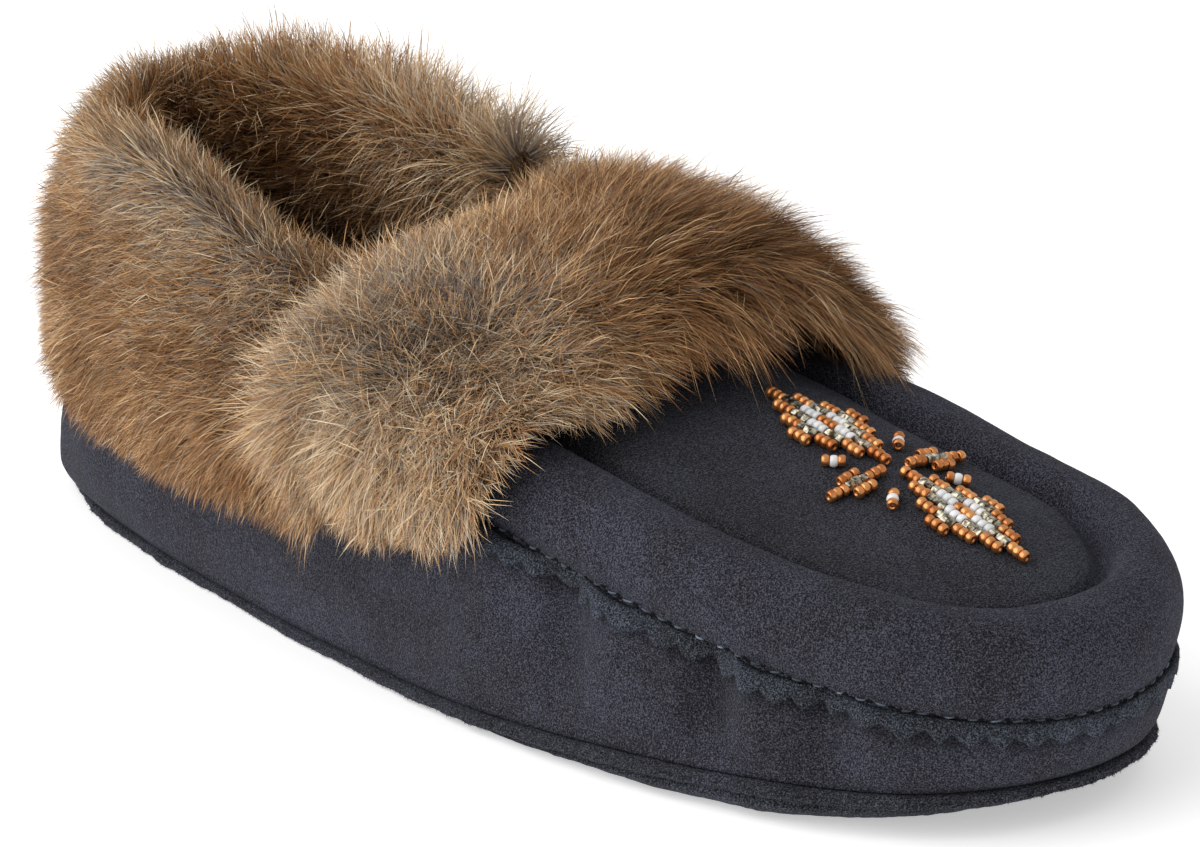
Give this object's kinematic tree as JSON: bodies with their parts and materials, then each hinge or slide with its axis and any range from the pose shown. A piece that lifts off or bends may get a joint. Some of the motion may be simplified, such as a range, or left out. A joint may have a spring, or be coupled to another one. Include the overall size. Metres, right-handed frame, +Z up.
{
  "type": "moccasin slipper",
  "caption": "Right moccasin slipper: hollow suede upper with a padded roll and pinked seam, soft suede sole, fur collar with a fur flap across the instep, and a beaded flower on the plug.",
  "frame": {"origin": "on the floor under the middle of the slipper's bounding box", "axes": "+Z up from the floor, -Y towards the toe, +X towards the big toe's side of this right shoe"},
  "size_m": [0.1113, 0.2772, 0.0857],
  "materials": {
    "suede": "charcoal suede with a short nap, matte",
    "sole_suede": "charcoal suede with a raw fuzzy edge, matte",
    "fleece": "dark fleece lining",
    "fur": "long rabbit fur, brown with golden-tan guard hairs",
    "beads": "opaque seed beads in copper, silver and white, glossy"
  },
  "bodies": {
    "root": {"outsole": "sole_suede", "upper": "suede", "insole": "fleece", "pinked_seam": "suede", "fur_collar": "fur", "fur_flap": "fur", "bead_petal_front": "beads", "bead_petal_back": "beads", "bead_petal_lateral": "beads", "bead_petal_medial": "beads", "bead_accent_1": "beads", "bead_accent_2": "beads", "bead_accent_3": "beads", "bead_accent_4": "beads"}
  },
  "joints": []
}
